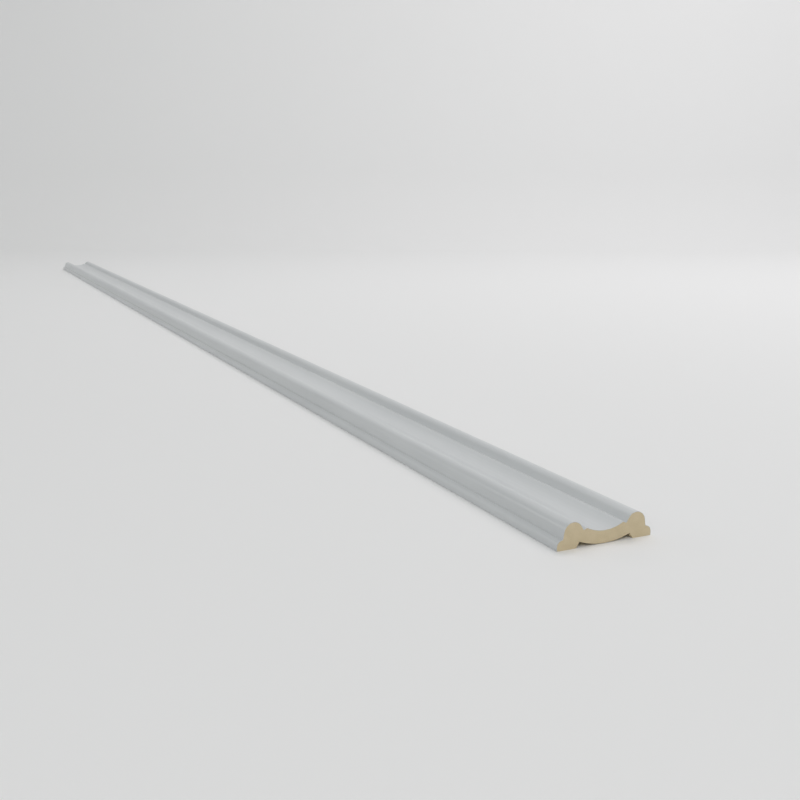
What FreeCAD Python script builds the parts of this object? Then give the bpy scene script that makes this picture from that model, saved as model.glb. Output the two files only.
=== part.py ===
import FreeCAD, Part

import math
import os

# A panel moulding: one straight length of a rigid foam moulding, glued flat to a wall or door to
# frame a panel. It lies on its back, as it would against the wall. Its section is the same from
# end to end and the same on both sides of its middle.
#
# Frame, in millimetres: X runs along the length, Y across the width and Z up, away from the wall.
# The origin is in the middle of the length and of the width, on the plane that the feet stand on.

# Overall sizes
LENGTH = 2000.0
WIDTH = 66.0
THICKNESS = 16.0

# The foot under each side: a flat that is glued down, an upright outer edge and a quarter round
FOOT_WIDTH = 13.0
FOOT_EDGE_HEIGHT = 2.4
QUARTER_ROUND_RADIUS = 4.0

# The bead above each foot. Its outer flank leans in by a little, so that it leaves the mould.
BEAD_RADIUS = 6.4
BEAD_FLANK_LEAN = 0.6

# The quirk: the narrow groove between a bead and the cove
QUIRK_OFFSET = 0.7
QUIRK_WIDTH = 2.3
QUIRK_DEPTH = 0.9

# The cove: the shallow scoop in the middle of the face
COVE_DEPTH = 3.15
WEB_THICKNESS = 7.8

# The relief in the back: a belly that follows the cove, and a sloping wall beside each foot
BELLY_CLEARANCE = 0.3
RELIEF_HEIGHT = 3.6
RELIEF_WALL_RUN = 2.4

# The radius that softens each edge and inner corner along the length
FOOT_EDGE_SOFTENING = 0.25
FOOT_INNER_SOFTENING = 0.3
RELIEF_SOFTENING = 0.5
CREASE_SOFTENING = 0.5
QUIRK_SOFTENING = 0.45
COVE_EDGE_SOFTENING = 0.6

# Heights and places that follow from the sizes above, as (distance from the middle, height)
HALF_WIDTH = WIDTH / 2
COVE_FLOOR_HEIGHT = BELLY_CLEARANCE + WEB_THICKNESS
COVE_EDGE_HEIGHT = COVE_FLOOR_HEIGHT + COVE_DEPTH

FOOT_OUTER = (HALF_WIDTH, 0.0)
FOOT_INNER = (HALF_WIDTH - FOOT_WIDTH, 0.0)
RELIEF_TOP = (FOOT_INNER[0] - RELIEF_WALL_RUN, RELIEF_HEIGHT)
BELLY_LOW = (0.0, BELLY_CLEARANCE)

FOOT_EDGE_TOP = (HALF_WIDTH, FOOT_EDGE_HEIGHT)
QUARTER_ROUND_AXIS = (HALF_WIDTH - QUARTER_ROUND_RADIUS, FOOT_EDGE_HEIGHT)
CREASE = (QUARTER_ROUND_AXIS[0], FOOT_EDGE_HEIGHT + QUARTER_ROUND_RADIUS)

BEAD_AXIS = (CREASE[0] - BEAD_FLANK_LEAN - BEAD_RADIUS, THICKNESS - BEAD_RADIUS)
BEAD_TOP = (BEAD_AXIS[0], THICKNESS)
QUIRK = (BEAD_AXIS[0] - BEAD_RADIUS - QUIRK_OFFSET, COVE_EDGE_HEIGHT - QUIRK_DEPTH)
COVE_EDGE = (QUIRK[0] - QUIRK_WIDTH, COVE_EDGE_HEIGHT)
COVE_FLOOR = (0.0, COVE_FLOOR_HEIGHT)

# Edges that are this close to a place of the section count as lying on it
SAME_PLACE = 1e-4


def kept(point):
    return point


def mirrored(point):
    """The same point on the other side of the middle."""
    return (-point[0], point[1])


def at_start(point):
    """A point of the section, set in the plane of the length's first end."""
    return FreeCAD.Vector(-LENGTH / 2, point[0], point[1])


def straight(start, end):
    return Part.LineSegment(at_start(start), at_start(end)).toShape()


def arc(start, middle, end):
    return Part.Arc(at_start(start), at_start(middle), at_start(end)).toShape()


def on_circle(axis, radius, angle):
    return (axis[0] + radius * math.cos(angle), axis[1] + radius * math.sin(angle))


def tangent_point(axis, radius, point, turn):
    """Where the line from a point outside a circle touches it. Turn is 1 or -1 and picks the side."""
    across = point[0] - axis[0]
    up = point[1] - axis[1]
    distance = math.hypot(across, up)
    angle = math.atan2(up, across) + turn * math.acos(radius / distance)
    return on_circle(axis, radius, angle)


def side_outline(place):
    """The edges of one side, from the back relief round the foot and the bead to the cove's edge.
    Place is kept for the side at +Y, and mirrored for the side at -Y."""
    quarter_round_middle = on_circle(QUARTER_ROUND_AXIS, QUARTER_ROUND_RADIUS, math.radians(45))
    outer_tangent = tangent_point(BEAD_AXIS, BEAD_RADIUS, CREASE, 1)
    inner_tangent = tangent_point(BEAD_AXIS, BEAD_RADIUS, QUIRK, -1)
    return [
        straight(place(RELIEF_TOP), place(FOOT_INNER)),
        straight(place(FOOT_INNER), place(FOOT_OUTER)),
        straight(place(FOOT_OUTER), place(FOOT_EDGE_TOP)),
        arc(place(FOOT_EDGE_TOP), place(quarter_round_middle), place(CREASE)),
        straight(place(CREASE), place(outer_tangent)),
        arc(place(outer_tangent), place(BEAD_TOP), place(inner_tangent)),
        straight(place(inner_tangent), place(QUIRK)),
        straight(place(QUIRK), place(COVE_EDGE)),
    ]


def section_face():
    """The whole section as a flat face: both sides, the cove between them and the belly below."""
    edges = side_outline(kept) + side_outline(mirrored)
    edges.append(arc(COVE_EDGE, COVE_FLOOR, mirrored(COVE_EDGE)))
    edges.append(arc(RELIEF_TOP, BELLY_LOW, mirrored(RELIEF_TOP)))
    return Part.Face(Part.Wire(Part.__sortEdges__(edges)))


def long_edges(solid, point):
    """The edges that run along the length through a point of the section, on both sides."""
    found = []
    for edge in solid.Edges:
        middle = edge.valueAt((edge.FirstParameter + edge.LastParameter) / 2)
        at_point = math.hypot(abs(middle.y) - point[0], middle.z - point[1]) < SAME_PLACE
        runs_along = abs(middle.x) < SAME_PLACE
        if at_point and runs_along:
            found.append(edge)
    return found


def softened(solid):
    """The solid with its long edges and inner corners rounded, as the mould and primer leave them."""
    for point, radius in (
        (FOOT_OUTER, FOOT_EDGE_SOFTENING),
        (FOOT_INNER, FOOT_INNER_SOFTENING),
        (RELIEF_TOP, RELIEF_SOFTENING),
        (CREASE, CREASE_SOFTENING),
        (QUIRK, QUIRK_SOFTENING),
        (COVE_EDGE, COVE_EDGE_SOFTENING),
    ):
        solid = solid.makeFillet(radius, long_edges(solid, point))
    return solid


def panel_moulding():
    """One length of the moulding, with both ends sawn square."""
    length_of_section = section_face().extrude(FreeCAD.Vector(LENGTH, 0, 0))
    return softened(length_of_section)


os.makedirs("parts", exist_ok=True)
moulding = panel_moulding()
moulding.exportStep("parts/panel_moulding.step")

box = moulding.BoundBox
print("solids", len(moulding.Solids), "valid", moulding.isValid(), "faces", len(moulding.Faces))
print("size", round(box.XLength, 3), round(box.YLength, 3), round(box.ZLength, 3))
print("volume in cubic metres", moulding.Volume / 1e9)
print("section area in square millimetres", round(moulding.Volume / LENGTH, 2))
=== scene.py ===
import math

import bpy
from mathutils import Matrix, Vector
from mathutils.geometry import delaunay_2d_cdt, intersect_point_line


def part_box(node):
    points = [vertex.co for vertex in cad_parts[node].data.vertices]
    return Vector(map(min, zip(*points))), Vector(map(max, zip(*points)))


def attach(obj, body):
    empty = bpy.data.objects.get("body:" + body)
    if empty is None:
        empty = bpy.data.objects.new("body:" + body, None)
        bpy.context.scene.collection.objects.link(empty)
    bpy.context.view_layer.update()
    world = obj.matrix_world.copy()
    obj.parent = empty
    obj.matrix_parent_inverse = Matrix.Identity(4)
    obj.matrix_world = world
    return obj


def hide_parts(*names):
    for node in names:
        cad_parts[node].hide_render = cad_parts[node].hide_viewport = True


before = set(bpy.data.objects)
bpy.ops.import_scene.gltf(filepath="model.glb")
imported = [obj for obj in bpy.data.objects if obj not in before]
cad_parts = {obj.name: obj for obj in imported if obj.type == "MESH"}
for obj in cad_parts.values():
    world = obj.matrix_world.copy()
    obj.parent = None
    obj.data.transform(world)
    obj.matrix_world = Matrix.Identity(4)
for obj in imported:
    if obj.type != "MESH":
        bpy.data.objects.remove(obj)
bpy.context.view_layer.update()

mm = 0.001
scene = bpy.context.scene


# The moulding, its section. It is one length of rigid polyurethane foam, foamed in a closed mould
# that gives it its feet, quarter rounds, beads, quirks and cove, and the relief in its back.
# It is glued flat to a wall or a door by its feet, and its ends are sawn square.

low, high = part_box("panel_moulding")
length = high.x - low.x
width = high.y - low.y
thickness = high.z - low.z

foot_width = 13.0 * mm
foot_edge_height = 2.4 * mm
quarter_round_radius = 4.0 * mm
bead_radius = 6.4 * mm
bead_flank_lean = 0.6 * mm
quirk_offset = 0.7 * mm
quirk_width = 2.3 * mm
quirk_depth = 0.9 * mm
cove_depth = 3.15 * mm
web_thickness = 7.8 * mm
belly_clearance = 0.3 * mm
relief_height = 3.6 * mm
relief_wall_run = 2.4 * mm

cove_edge_softening = 0.6 * mm
quirk_softening = 0.45 * mm
crease_softening = 0.5 * mm
foot_outer_softening = 0.25 * mm
foot_inner_softening = 0.3 * mm
relief_softening = 0.5 * mm

cove_steps = 16
bead_steps = 36
quarter_round_steps = 14
foot_steps = 6
relief_wall_steps = 3
softening_steps = 5

cove_floor = Vector((0, belly_clearance + web_thickness))
belly_low = Vector((0, belly_clearance))
foot_outer = Vector((width / 2, 0))
foot_inner = foot_outer - Vector((foot_width, 0))
relief_top = foot_inner + Vector((-relief_wall_run, relief_height))
foot_edge_top = foot_outer + Vector((0, foot_edge_height))
quarter_round_axis = foot_edge_top - Vector((quarter_round_radius, 0))
crease = quarter_round_axis + Vector((0, quarter_round_radius))
bead_axis = Vector((crease.x - bead_flank_lean - bead_radius, thickness - bead_radius))
cove_edge_height = cove_floor.y + cove_depth
quirk = Vector((bead_axis.x - bead_radius - quirk_offset, cove_edge_height - quirk_depth))
cove_edge = Vector((quirk.x - quirk_width, cove_edge_height))


def arc_points(axis, radius, start, end, steps):
    """Points on a circle, from one angle to another, in degrees."""
    points = []
    for step in range(steps + 1):
        angle = math.radians(start + (end - start) * step / steps)
        points.append(axis + radius * Vector((math.cos(angle), math.sin(angle))))
    return points


def line_points(start, end, steps=1):
    return [start.lerp(end, step / steps) for step in range(steps + 1)]


def angle_of(axis, point):
    return math.degrees(math.atan2(point.y - axis.y, point.x - axis.x))


def touch_angle(axis, radius, point, turn):
    """The angle on a circle, in degrees, where the line from a point outside it touches it."""
    return angle_of(axis, point) + turn * math.degrees(math.acos(radius / (point - axis).length))


def shallow_arc(middle, end, steps):
    """Half of an arc that is level in the middle of the width, from there to its end."""
    rise = end.y - middle.y
    radius = (end.x ** 2 + rise ** 2) / (2 * rise)
    axis = middle + Vector((0, radius))
    return arc_points(axis, radius, angle_of(axis, middle), angle_of(axis, end), steps)


def cut_back(run, reach):
    """The run of points without its first stretch, which is as long as reach."""
    run = list(run)
    while len(run) > 2 and (run[1] - run[0]).length < reach:
        reach -= (run[1] - run[0]).length
        run.pop(0)
    run[0] = run[0] + (run[1] - run[0]).normalized() * reach
    return run


def joined(first, second, softening):
    """Two runs that meet in a corner, with the corner softened to that radius."""
    corner = second[0]
    turn = (first[-1] - first[-2]).angle(second[1] - second[0])
    reach = softening * math.tan(turn / 2)
    first = cut_back(first[::-1], reach)[::-1]
    second = cut_back(second, reach)
    start, end = first[-1], second[0]
    softened = []
    for step in range(1, softening_steps):
        t = step / softening_steps
        softened.append(start.lerp(corner, t).lerp(corner.lerp(end, t), t))
    return first + softened + second


def half_outline():
    """The section's outline on the side at +Y, from the middle of the cove to that of the belly,
    and how many of its points carry primer, which reaches round the foot's outer corner."""
    inner_touch = touch_angle(bead_axis, bead_radius, quirk, -1) % 360
    outer_touch = touch_angle(bead_axis, bead_radius, crease, 1)
    bead = arc_points(bead_axis, bead_radius, inner_touch, outer_touch, bead_steps)
    quarter_round = arc_points(quarter_round_axis, quarter_round_radius, 90, 0, quarter_round_steps)
    belly = shallow_arc(belly_low, relief_top, cove_steps)[::-1]
    face = shallow_arc(cove_floor, cove_edge, cove_steps)
    face = joined(face, line_points(cove_edge, quirk), cove_edge_softening)
    face = joined(face, [quirk] + bead + [crease], quirk_softening)
    face = joined(face, quarter_round + [foot_outer], crease_softening)
    whole = joined(face, line_points(foot_outer, foot_inner, foot_steps), foot_outer_softening)
    whole = joined(whole, line_points(foot_inner, relief_top, relief_wall_steps), foot_inner_softening)
    whole = joined(whole, belly, relief_softening)
    return whole, len(face) + softening_steps


right_side, primed_points = half_outline()
left_side = [Vector((-point.x, point.y)) for point in right_side[1:-1]]
outline = right_side + left_side[::-1]


def is_primed(number):
    """Whether a point of the outline, counted from the middle of the cove, carries primer."""
    return min(number, len(outline) - number) < primed_points


# The sawn face of the moulding: the section as a flat sheet of small triangles, across X and up Y.
# Each point knows how far it lies inside the outline and whether the nearest skin is primed.

grid_step = 0.5 * mm
least_depth = 0.6 * grid_step
same_point = 1e-7
only_inside = 1


def inside(point):
    """Whether a point lies within the outline, by counting the edges above it."""
    crossings = 0
    for a, b in zip(outline, outline[1:] + outline[:1]):
        if (a.x > point.x) != (b.x > point.x):
            height = a.y + (b.y - a.y) * (point.x - a.x) / (b.x - a.x)
            crossings += height > point.y
    return crossings % 2 == 1


def nearest_skin(point):
    """How far the outline is from a point, and the number of the outline's point nearest to it."""
    near = min(range(len(outline)), key=lambda number: (outline[number] - point).length)
    distance = (outline[near] - point).length
    for neighbour in (near - 1, (near + 1) % len(outline)):
        foot, share = intersect_point_line(point, outline[near], outline[neighbour])
        if 0 < share < 1:
            distance = min(distance, (foot.xy - point).length)
    return distance, near


def section_sheet():
    """The flat sheet, with the outline's points and a grid of staggered rows inside it."""
    points = list(outline)
    rows = int(thickness / grid_step)
    columns = int(width / grid_step)
    for row in range(rows):
        for column in range(columns + 1):
            shift = 0.5 * (row % 2)
            point = Vector(((column + shift) * grid_step - width / 2, (row + 0.5) * grid_step))
            if inside(point) and nearest_skin(point)[0] > least_depth:
                points.append(point)
    loop = list(range(len(outline)))
    edges = list(zip(loop, loop[1:] + loop[:1]))
    sheet = delaunay_2d_cdt(points, edges, [loop], only_inside, same_point)
    mesh = bpy.data.meshes.new("moulding_section")
    mesh.from_pydata([(point.x, point.y, 0) for point in sheet[0]], [], sheet[2])
    depth = mesh.attributes.new("depth_under_skin", "FLOAT", "POINT")
    primed = mesh.attributes.new("primed", "FLOAT", "POINT")
    for vertex in mesh.vertices:
        distance, near = nearest_skin(vertex.co.xy)
        depth.data[vertex.index].value = distance
        primed.data[vertex.index].value = float(is_primed(near))
    return mesh


# The moulding's finishes. The closed mould leaves a dense tan skin round a fine, paler foam. A cool
# grey primer is sprayed on the face, and its mist reaches a little way round under the feet.
# The saw cuts through skin and foam, and nibbles the primer along the cut.

foam_shade = (0.660, 0.545, 0.348, 1)
foam_light = (0.703, 0.585, 0.387, 1)
cell_wall_colour = (0.792, 0.695, 0.513, 1)
# The blisters' dark colour is painted shade inside their hollows.
blister_painted_shade = (0.342, 0.251, 0.145, 1)
foam_roughness = (0.78, 0.9)
foam_cell_size = 0.35 * mm

primer_shade = (0.632, 0.652, 0.662, 1)
primer_light = (0.673, 0.692, 0.700, 1)
dust_colour = (0.415, 0.447, 0.446, 1)
primer_roughness = (0.31, 0.40)
primer_film = 0.10 * mm
nibble_depth = 1.6 * mm
mist_reach = 6.0 * mm
gloss = 0.6


def new_group(name, inputs, outputs):
    """An empty shader group. Inputs have a default value, outputs a kind."""
    group = bpy.data.node_groups.new(name, "ShaderNodeTree")
    for title, value in inputs.items():
        socket = group.interface.new_socket(title, in_out="INPUT", socket_type="NodeSocketFloat")
        socket.default_value = value
    for title, kind in outputs.items():
        group.interface.new_socket(title, in_out="OUTPUT", socket_type="NodeSocket" + kind)
    return group, group.nodes.new("NodeGroupInput"), group.nodes.new("NodeGroupOutput")


def add(tree, kind, values=None, **settings):
    """A node with its settings, and values or links for its inputs by name or number."""
    node = tree.nodes.new(kind)
    for setting, value in settings.items():
        setattr(node, setting, value)
    for name, value in (values or {}).items():
        if isinstance(value, bpy.types.NodeSocket):
            tree.links.new(value, node.inputs[name])
        else:
            node.inputs[name].default_value = value
    return node


def math_node(tree, operation, first, second=0.0, clamp=False):
    node = add(tree, "ShaderNodeMath", {0: first, 1: second}, operation=operation, use_clamp=clamp)
    return node.outputs[0]


def ramp(tree, value, start, end, low_value=0.0, high_value=1.0):
    """A smooth change from one value to another while the input goes from start to end."""
    node = add(tree, "ShaderNodeMapRange", {"Value": value, 1: start, 2: end, 3: low_value, 4: high_value})
    node.interpolation_type = "SMOOTHSTEP"
    return node.outputs[0]


def mixed(tree, share, first, second):
    node = add(tree, "ShaderNodeMix", data_type="RGBA")
    for number, value in ((0, share), (6, first), (7, second)):
        if isinstance(value, bpy.types.NodeSocket):
            tree.links.new(value, node.inputs[number])
        else:
            node.inputs[number].default_value = value
    return node.outputs[2]


def stretched(tree, place, along, across):
    """Object coordinates with the length scaled by one factor and the section by another."""
    return add(tree, "ShaderNodeMapping", {"Vector": place, "Scale": (along, across, across)}).outputs[0]


def noise(tree, place, scale, detail=3.0, roughness=0.5):
    values = {"Vector": place, "Scale": scale, "Detail": detail, "Roughness": roughness}
    return add(tree, "ShaderNodeTexNoise", values).outputs["Fac"]


def bare_foam_group():
    """Cut or bare foam: fine cells, a few larger blisters with painted shade inside, slow changes of
    colour.
    """
    group, given, out = new_group(
        "bare_foam",
        {"Cell size": foam_cell_size, "Blisters": 0.5},
        {"Colour": "Color", "Roughness": "Float", "Height": "Float"},
    )
    place = add(group, "ShaderNodeTexCoord").outputs["Object"]
    cell_scale = math_node(group, "DIVIDE", 1.0, given.outputs["Cell size"])
    cells = add(group, "ShaderNodeTexVoronoi", {"Vector": place, "Scale": cell_scale, "Randomness": 1.0})
    cell_wall = ramp(group, cells.outputs["Distance"], 0.15, 0.75)
    blister_scale = math_node(group, "MULTIPLY", cell_scale, 0.22)
    blisters = add(group, "ShaderNodeTexVoronoi", {"Vector": place, "Scale": blister_scale})
    # The blisters' mask: a real pit in the height, and painted shade in the colour.
    hollow = ramp(group, blisters.outputs["Distance"], 0.05, 0.17, 1.0, 0.0)
    draw = add(group, "ShaderNodeSeparateColor", {0: blisters.outputs["Color"]}).outputs[0]
    chosen = ramp(group, draw, 0.70, 0.74)
    hollow = math_node(group, "MULTIPLY", hollow, chosen)
    hollow = math_node(group, "MULTIPLY", hollow, given.outputs["Blisters"])
    patches = noise(group, place, 160.0, 4.0)
    colour = mixed(group, ramp(group, patches, 0.35, 0.65), foam_shade, foam_light)
    colour = mixed(group, math_node(group, "MULTIPLY", cell_wall, 0.20), colour, cell_wall_colour)
    # Painted shade: the blisters' hollows are darkened in the colour.
    colour = mixed(group, math_node(group, "MULTIPLY", hollow, 0.55), colour, blister_painted_shade)
    group.links.new(colour, out.inputs["Colour"])
    group.links.new(ramp(group, patches, 0.3, 0.7, *foam_roughness), out.inputs["Roughness"])
    height = math_node(group, "SUBTRACT", math_node(group, "MULTIPLY", cell_wall, 0.35), hollow)
    group.links.new(height, out.inputs["Height"])
    return group


def primer_group():
    """Sprayed primer: a trace of orange peel, faint lengthwise lines that the mould leaves under it,
    relief in the height and painted shade in the tone, slow changes of tone, and a few specks of dust."""
    group, given, out = new_group(
        "primer_coat",
        {"Lines": 1.0, "Orange peel": 1.0},
        {"Colour": "Color", "Roughness": "Float", "Height": "Float"},
    )
    place = add(group, "ShaderNodeTexCoord").outputs["Object"]
    broad_lines = noise(group, stretched(group, place, 0.8, 420.0), 1.0, 2.0)
    fine_lines = noise(group, stretched(group, place, 3.0, 1500.0), 1.0, 2.0)
    broad_lines = math_node(group, "MULTIPLY", broad_lines, 0.6)
    fine_lines = math_node(group, "MULTIPLY", fine_lines, 0.4)
    lines = math_node(group, "SUBTRACT", math_node(group, "ADD", broad_lines, fine_lines), 0.5)
    lines = math_node(group, "MULTIPLY", lines, given.outputs["Lines"])
    patches = noise(group, stretched(group, place, 6.0, 40.0), 1.0, 3.0)
    # Painted shade: besides their relief, the mould's lines darken and lighten the primer's tone.
    painted_line_shade = math_node(group, "MULTIPLY", lines, 1.4)
    tone = math_node(group, "ADD", ramp(group, patches, 0.3, 0.7), painted_line_shade, clamp=True)
    colour = mixed(group, tone, primer_shade, primer_light)
    specks = add(group, "ShaderNodeTexVoronoi", {"Vector": place, "Scale": 260.0})
    speck = ramp(group, specks.outputs["Distance"], 0.02, 0.06, 1.0, 0.0)
    draw = add(group, "ShaderNodeSeparateColor", {0: specks.outputs["Color"]}).outputs[0]
    speck = math_node(group, "MULTIPLY", speck, ramp(group, draw, 0.96, 0.97))
    colour = mixed(group, math_node(group, "MULTIPLY", speck, 0.35), colour, dust_colour)
    group.links.new(colour, out.inputs["Colour"])
    group.links.new(ramp(group, patches, 0.3, 0.7, *primer_roughness), out.inputs["Roughness"])
    peel = math_node(group, "MULTIPLY", noise(group, place, 700.0, 2.0), given.outputs["Orange peel"])
    height = math_node(group, "ADD", peel, math_node(group, "MULTIPLY", lines, 1.6))
    height = math_node(group, "ADD", height, math_node(group, "MULTIPLY", speck, 1.5))
    group.links.new(height, out.inputs["Height"])
    return group


bare_foam = bare_foam_group()
primer_coat = primer_group()


def two_layer_material(name, primer_share, relief):
    """A surface of bare foam under primer. Primer_share builds the mask of what the primer covers,
    and relief is how high the bumps of either stand."""
    material = bpy.data.materials.new(name)
    material.use_nodes = True
    tree = material.node_tree
    surface = tree.nodes["Principled BSDF"]
    surface.inputs["Specular IOR Level"].default_value = gloss
    place = add(tree, "ShaderNodeTexCoord").outputs["Object"]
    foam = add(tree, "ShaderNodeGroup", node_tree=bare_foam)
    primer = add(tree, "ShaderNodeGroup", node_tree=primer_coat)
    share = primer_share(tree, place)
    colour = mixed(tree, share, foam.outputs["Colour"], primer.outputs["Colour"])
    roughness = add(
        tree, "ShaderNodeMix", {0: share, 2: foam.outputs["Roughness"], 3: primer.outputs["Roughness"]}
    )
    foam_height = math_node(tree, "MULTIPLY", foam.outputs["Height"], 6.0)
    primer_height = math_node(tree, "ADD", primer.outputs["Height"], 8.0)
    height = add(tree, "ShaderNodeMix", {0: share, 2: foam_height, 3: primer_height})
    bump = add(tree, "ShaderNodeBump", {"Height": height.outputs[0], "Distance": relief, "Strength": 1.0})
    tree.links.new(colour, surface.inputs["Base Color"])
    tree.links.new(roughness.outputs[0], surface.inputs["Roughness"])
    tree.links.new(bump.outputs[0], surface.inputs["Normal"])
    return material


def share_on_face(tree, place):
    """All primer, apart from the nibbles that the saw leaves along the cut."""
    along = add(tree, "ShaderNodeSeparateXYZ", {0: place}).outputs["X"]
    from_end = math_node(tree, "SUBTRACT", length / 2, math_node(tree, "ABSOLUTE", along))
    nibbles = ramp(tree, noise(tree, place, 900.0, 4.0, 0.7), 0.56, 0.8)
    nibbles = math_node(tree, "MULTIPLY", nibbles, nibble_depth)
    return ramp(tree, math_node(tree, "SUBTRACT", from_end, nibbles), -0.02 * mm, 0.03 * mm)


def share_on_bare_skin(tree, place):
    """Mist of primer on the back, which thins out from the outer edges of the feet."""
    across = add(tree, "ShaderNodeSeparateXYZ", {0: place}).outputs["Y"]
    from_edge = math_node(tree, "SUBTRACT", width / 2, math_node(tree, "ABSOLUTE", across))
    drift = noise(tree, stretched(tree, place, 30.0, 200.0), 1.0, 4.0)
    reach = math_node(tree, "MULTIPLY", drift, mist_reach)
    mist = ramp(tree, math_node(tree, "SUBTRACT", from_edge, reach), -2.0 * mm, 1.5 * mm, 1.0, 0.0)
    speckle = ramp(tree, noise(tree, place, 2200.0, 2.0), 0.35, 0.65)
    return math_node(tree, "MULTIPLY", mist, speckle)


def share_on_cut(tree, place):
    """The cut edge of the primer: a film as thin as a hair, round the primed part of the outline."""
    depth = add(tree, "ShaderNodeAttribute", attribute_name="depth_under_skin").outputs["Fac"]
    primed = add(tree, "ShaderNodeAttribute", attribute_name="primed").outputs["Fac"]
    film = ramp(tree, depth, primer_film, 2 * primer_film, 1.0, 0.0)
    return math_node(tree, "MULTIPLY", film, ramp(tree, primed, 0.4, 0.6))


primed_face = two_layer_material("primed_face", share_on_face, relief=0.006 * mm)
bare_back = two_layer_material("bare_back", share_on_bare_skin, relief=0.010 * mm)
sawn_end = two_layer_material("sawn_end", share_on_cut, relief=0.012 * mm)


# The moulding itself: the section drawn out along the length, with a sawn face at each end. The
# mould's wall leaves a slight wave in the skin, and the saw leaves shallow arcs in the ends.

wave_free_end = 20 * mm
blade_offset = 0.3 * width
least_sharp_angle = math.radians(50)


def combine(tree, x=0.0, y=0.0, z=0.0):
    return add(tree, "ShaderNodeCombineXYZ", {"X": x, "Y": y, "Z": z}).outputs[0]


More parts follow.
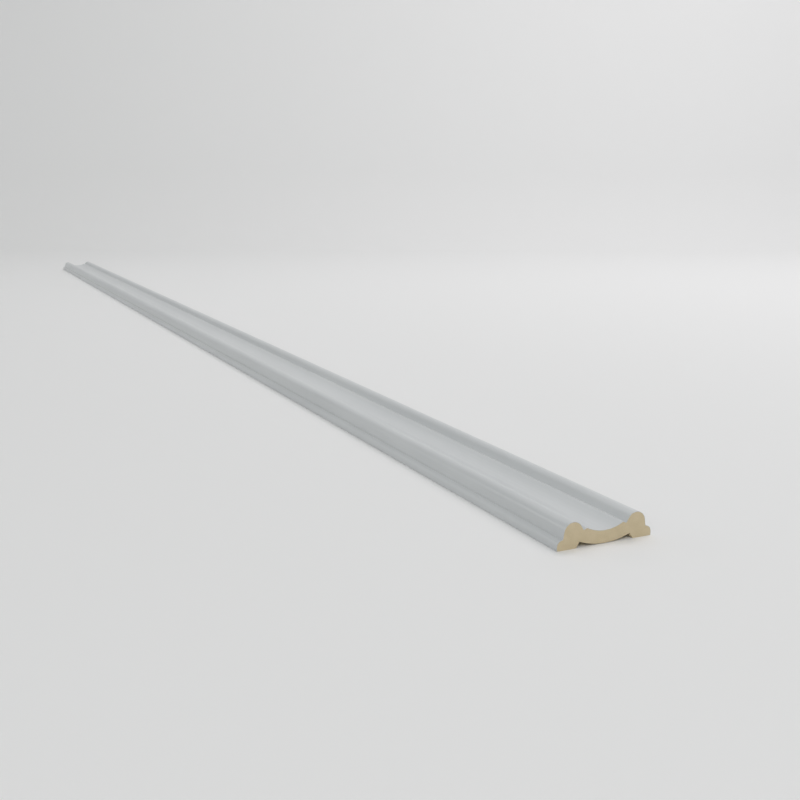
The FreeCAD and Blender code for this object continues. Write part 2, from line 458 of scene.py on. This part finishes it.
def length_tree():
    """The nodes that turn the flat section into the whole length."""
    tree = bpy.data.node_groups.new("moulding_length", "GeometryNodeTree")
    sockets = tree.interface
    sockets.new_socket("Section", in_out="INPUT", socket_type="NodeSocketGeometry")
    for title in (
        "Length", "Wave depth", "Wave length", "Saw mark depth", "Saw mark spacing",
        "Blade radius", "Seed",
    ):
        sockets.new_socket(title, in_out="INPUT", socket_type="NodeSocketFloat")
    sockets.new_socket("Stations", in_out="INPUT", socket_type="NodeSocketInt")
    for title in ("Primed face", "Bare back", "Sawn end"):
        sockets.new_socket(title, in_out="INPUT", socket_type="NodeSocketMaterial")
    sockets.new_socket("Moulding", in_out="OUTPUT", socket_type="NodeSocketGeometry")
    given = tree.nodes.new("NodeGroupInput").outputs
    out = tree.nodes.new("NodeGroupOutput")
    half = math_node(tree, "MULTIPLY", given["Length"], 0.5)
    near = combine(tree, half)
    far = combine(tree, math_node(tree, "MULTIPLY", half, -1.0))

    # The skin: the sheet's outline, drawn from one end to the other
    neighbours = add(tree, "GeometryNodeInputMeshEdgeNeighbors").outputs[0]
    rim = add(tree, "FunctionNodeCompare", {2: neighbours, 3: 1}, data_type="INT", operation="EQUAL")
    ring = add(tree, "GeometryNodeMeshToCurve", {"Mesh": given["Section"], "Selection": rim.outputs[0]})
    ring = add(tree, "GeometryNodeTransform", {"Geometry": ring.outputs[0], "Rotation": (math.pi, 0, 0)})
    rail = add(tree, "GeometryNodeCurvePrimitiveLine", {"Start": near, "End": far})
    rail = add(tree, "GeometryNodeResampleCurve", {"Curve": rail.outputs[0], "Count": given["Stations"]})
    skin = add(
        tree, "GeometryNodeCurveToMesh", {"Curve": rail.outputs[0], "Profile Curve": ring.outputs[0]}
    )
    skin = add(tree, "GeometryNodeFlipFaces", {"Mesh": skin.outputs[0]})

    # The mould's wave: hollows in the skin, long ones along the length, none at the cut
    place = add(tree, "GeometryNodeInputPosition").outputs[0]
    spread = add(tree, "ShaderNodeVectorMath", {0: place, 1: (1.0, 5.0, 5.0)}, operation="MULTIPLY")
    per_metre = math_node(tree, "DIVIDE", 1.0, given["Wave length"])
    wave = add(
        tree, "ShaderNodeTexNoise",
        {"Vector": spread.outputs[0], "W": given["Seed"], "Scale": per_metre, "Detail": 1.0},
        noise_dimensions="4D",
    ).outputs["Fac"]
    along = add(tree, "ShaderNodeSeparateXYZ", {0: place}).outputs["X"]
    from_end = math_node(tree, "SUBTRACT", half, math_node(tree, "ABSOLUTE", along))
    wave = math_node(tree, "MULTIPLY", wave, ramp(tree, from_end, 0.0, wave_free_end))
    inward = math_node(tree, "MULTIPLY", math_node(tree, "MULTIPLY", wave, given["Wave depth"]), -1.0)
    normal = add(tree, "GeometryNodeInputNormal").outputs[0]
    hollow = add(tree, "ShaderNodeVectorMath", {0: normal, 3: inward}, operation="SCALE").outputs[0]
    skin = add(tree, "GeometryNodeSetPosition", {"Geometry": skin.outputs[0], "Offset": hollow})
    skin = add(
        tree, "GeometryNodeSetMaterial", {"Geometry": skin.outputs[0], "Material": given["Bare back"]}
    )
    primed = add(tree, "GeometryNodeInputNamedAttribute", {"Name": "primed"}, data_type="FLOAT")
    coated = add(tree, "FunctionNodeCompare", {0: primed.outputs[0], 1: 0.5}, operation="GREATER_THAN")
    skin = add(
        tree, "GeometryNodeSetMaterial",
        {"Geometry": skin.outputs[0], "Selection": coated.outputs[0], "Material": given["Primed face"]},
    )

    # The sawn faces: the sheet stood up at each end, with the blade's arcs cut into it
    sheet_x, sheet_y = add(tree, "ShaderNodeSeparateXYZ", {0: place}).outputs[:2]
    blade_axis = combine(tree, blade_offset, given["Blade radius"])
    blade = add(tree, "ShaderNodeVectorMath", {0: place, 1: blade_axis}, operation="DISTANCE")
    jitter = add(
        tree, "ShaderNodeTexNoise", {"Vector": place, "W": given["Seed"], "Scale": 60.0, "Detail": 2.0},
        noise_dimensions="4D",
    ).outputs["Fac"]
    turns = math_node(tree, "DIVIDE", blade.outputs["Value"], given["Saw mark spacing"])
    turns = math_node(tree, "ADD", turns, math_node(tree, "MULTIPLY", jitter, 1.5))
    ridge = math_node(tree, "SINE", math_node(tree, "MULTIPLY", turns, 2 * math.pi))
    ridge = math_node(tree, "MULTIPLY", math_node(tree, "ADD", ridge, 1.0), 0.5)
    depth = add(tree, "GeometryNodeInputNamedAttribute", {"Name": "depth_under_skin"}, data_type="FLOAT")
    ridge = math_node(tree, "MULTIPLY", ridge, ramp(tree, depth.outputs[0], 0.1 * mm, 0.8 * mm))
    cut_in = math_node(tree, "MULTIPLY", math_node(tree, "MULTIPLY", ridge, given["Saw mark depth"]), -1.0)
    cut = add(
        tree, "GeometryNodeSetPosition", {"Geometry": given["Section"], "Offset": combine(tree, z=cut_in)}
    )
    cut = add(tree, "GeometryNodeSetMaterial", {"Geometry": cut.outputs[0], "Material": given["Sawn end"]})
    standing = {"Geometry": cut.outputs[0], "Rotation": (math.pi / 2, 0, math.pi / 2)}
    near_face = add(tree, "GeometryNodeTransform", {**standing, "Translation": near})
    standing = {"Geometry": cut.outputs[0], "Rotation": (math.pi / 2, 0, -math.pi / 2)}
    far_face = add(tree, "GeometryNodeTransform", {**standing, "Translation": far})

    # All of it closed along the cuts, smooth apart from them
    whole = add(tree, "GeometryNodeJoinGeometry")
    for part in (far_face, near_face, skin):
        tree.links.new(part.outputs[0], whole.inputs[0])
    whole = add(tree, "GeometryNodeMergeByDistance", {"Geometry": whole.outputs[0], "Distance": 0.001 * mm})
    whole = add(tree, "GeometryNodeSetShadeSmooth", {"Geometry": whole.outputs[0], "Shade Smooth": True})
    angle = add(tree, "GeometryNodeInputMeshEdgeAngle").outputs[0]
    sharp = add(tree, "FunctionNodeCompare", {0: angle, 1: least_sharp_angle}, operation="GREATER_THAN")
    whole = add(
        tree, "GeometryNodeSetShadeSmooth",
        {"Geometry": whole.outputs[0], "Selection": sharp.outputs[0], "Shade Smooth": False},
        domain="EDGE",
    )
    whole = add(tree, "GeometryNodeRealizeInstances", {"Geometry": whole.outputs[0]})
    tree.links.new(whole.outputs[0], out.inputs[0])
    return tree


def drawn_length(section):
    """The section's object drawn out, as a plain mesh."""
    maker = section.modifiers.new("drawn_length", "NODES")
    maker.node_group = length_tree()
    sizes = {
        "Length": length,
        "Stations": 161,
        "Wave depth": 0.06 * mm,
        "Wave length": 150 * mm,
        "Saw mark depth": 0.05 * mm,
        "Saw mark spacing": 2.6 * mm,
        "Blade radius": 125 * mm,
        "Seed": 3.0,
        "Primed face": primed_face,
        "Bare back": bare_back,
        "Sawn end": sawn_end,
    }
    for socket in maker.node_group.interface.items_tree:
        if socket.name in sizes:
            maker[socket.identifier] = sizes[socket.name]
    drawn = section.evaluated_get(bpy.context.evaluated_depsgraph_get())
    mesh = bpy.data.meshes.new_from_object(drawn)
    section.modifiers.remove(maker)
    return mesh


moulding = bpy.data.objects.new("moulding", section_sheet())
scene.collection.objects.link(moulding)
moulding.data = drawn_length(moulding)
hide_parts("panel_moulding")
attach(moulding, "root")


# The camera, which stands where the photograph's did: low, to the left of the near end.

camera_place = (1457.5 * mm, -347.8 * mm, 206.95 * mm)
camera_pitch = 12.267
camera_heading = 64.63
lens = 46.224

camera_data = bpy.data.cameras.new("camera")
camera_data.sensor_width = 36.0
camera_data.lens = lens
camera_data.clip_start = 0.01
camera = bpy.data.objects.new("camera", camera_data)
camera.location = camera_place
camera.rotation_euler = (math.radians(90 - camera_pitch), 0, math.radians(camera_heading))
scene.collection.objects.link(camera)
scene.camera = camera


# The floor and the backdrop: one pale sheet that lies flat and rises in a curve behind the object.

heading = math.radians(camera_heading)
ahead = Vector((-math.sin(heading), math.cos(heading), 0))
aside = Vector((math.cos(heading), math.sin(heading), 0))
backdrop_start = 2.9
backdrop_curve = 0.3
backdrop_rise = 75.0
backdrop_height = 4.0
sweep_width = 16.0
floor_front = -9.0
floor_steps = 12
curve_steps = 24
paper_colour = (0.9, 0.9, 0.9, 1)


def sweep_profile():
    """Points of the sheet as (distance ahead of the camera, height)."""
    flat = backdrop_start - floor_front
    points = [(floor_front + flat * step / floor_steps, 0.0) for step in range(floor_steps)]
    for step in range(curve_steps + 1):
        angle = math.radians(backdrop_rise * step / curve_steps)
        points.append((
            backdrop_start + backdrop_curve * math.sin(angle),
            backdrop_curve * (1 - math.cos(angle)),
        ))
    distance, height = points[-1]
    lean = backdrop_height / math.tan(math.radians(backdrop_rise))
    points.append((distance + lean, height + backdrop_height))
    return points


def studio_sweep():
    """The sheet itself, square to the camera's heading."""
    mesh = bpy.data.meshes.new("studio_sweep")
    start = Vector((camera.location.x, camera.location.y, 0))
    vertices = []
    for distance, height in sweep_profile():
        for side in (-sweep_width / 2, sweep_width / 2):
            vertices.append(start + ahead * distance + aside * side + Vector((0, 0, height)))
    faces = [(2 * i, 2 * i + 1, 2 * i + 3, 2 * i + 2) for i in range(len(vertices) // 2 - 1)]
    mesh.from_pydata(vertices, [], faces)
    for polygon in mesh.polygons:
        polygon.use_smooth = True
    sweep = bpy.data.objects.new("studio_sweep", mesh)
    scene.collection.objects.link(sweep)
    return sweep


def sweep_material():
    """Matt pale paper, which is not there when it is looked at from behind."""
    material = bpy.data.materials.new("studio_sweep")
    material.use_nodes = True
    tree = material.node_tree
    surface = tree.nodes["Principled BSDF"]
    surface.inputs["Base Color"].default_value = paper_colour
    surface.inputs["Roughness"].default_value = 0.85
    surface.inputs["Specular IOR Level"].default_value = 0.2
    behind = add(tree, "ShaderNodeNewGeometry").outputs["Backfacing"]
    clear = add(tree, "ShaderNodeBsdfTransparent").outputs[0]
    paper = add(tree, "ShaderNodeMixShader", {0: behind, 1: surface.outputs[0], 2: clear})
    tree.links.new(paper.outputs[0], tree.nodes["Material Output"].inputs["Surface"])
    return material


sweep = studio_sweep()
sweep.data.materials.append(sweep_material())


# The light: six soft boxes, the strongest above and to the right, and a pale room, which together
# leave hardly a shadow. The one low at the side puts a sheen on the near end. The room itself looks
# brighter than the light it gives.


def studio_place(across, forward, up):
    """A place given in metres to the right of the camera, ahead of it, and above the floor."""
    foot = Vector((camera.location.x, camera.location.y, 0))
    return foot + aside * across + ahead * forward + Vector((0, 0, up))


def soft_box(name, place, aim, size, watts, colour):
    """A lamp behind a white cloth. Place and aim are given as studio_place takes them."""
    data = bpy.data.lights.new(name, "AREA")
    data.shape = "RECTANGLE"
    data.size, data.size_y = size
    data.energy = watts
    data.color = colour
    light = bpy.data.objects.new(name, data)
    light.location = studio_place(*place)
    turn = (studio_place(*aim) - light.location).to_track_quat("-Z", "Y")
    light.rotation_euler = turn.to_euler()
    scene.collection.objects.link(light)


soft_box("high_box", (1.6, 1.5, 2.4), (0.9, 1.5, 0), (2.0, 2.0), 21.7, (1, 0.984, 0.995))
soft_box("right_box", (1.0, 2.2, 2.2), (0.6, 2.0, 0), (1.0, 1.0), 10.4, (1, 0.976, 0.992))
soft_box("far_box", (-0.8, 2.2, 2.2), (-0.6, 2.0, 0), (1.0, 1.0), 4.6, (0.998, 1, 0.999))
soft_box("left_box", (-1.6, -1.8, 1.6), (0, 0.8, 0), (2.0, 1.6), 9.5, (0.987, 1, 0.992))
soft_box("front_box", (0.4, -1.0, 1.6), (0.1, 1.0, 0), (1.2, 1.0), 10.4, (1, 1, 1))
soft_box("side_box", (-3.0, 2.2, 1.1), (0.1, 0.6, 0), (1.2, 0.7), 6.5, (0.998, 1, 0.999))

world = bpy.data.worlds.new("pale_room")
world.use_nodes = True
room = world.node_tree
room_light = room.nodes["Background"]
room_light.inputs["Color"].default_value = (0.828, 0.849, 0.837, 1)
room_light.inputs["Strength"].default_value = 0.35
room_wall = add(room, "ShaderNodeBackground", {"Color": (0.47, 0.48, 0.48, 1)})
looked_at = add(room, "ShaderNodeLightPath").outputs["Is Camera Ray"]
room_seen = add(
    room, "ShaderNodeMixShader", {0: looked_at, 1: room_light.outputs[0], 2: room_wall.outputs[0]}
)
room.links.new(room_seen.outputs[0], room.nodes["World Output"].inputs["Surface"])
scene.world = world
scene.view_settings.view_transform = "Standard"
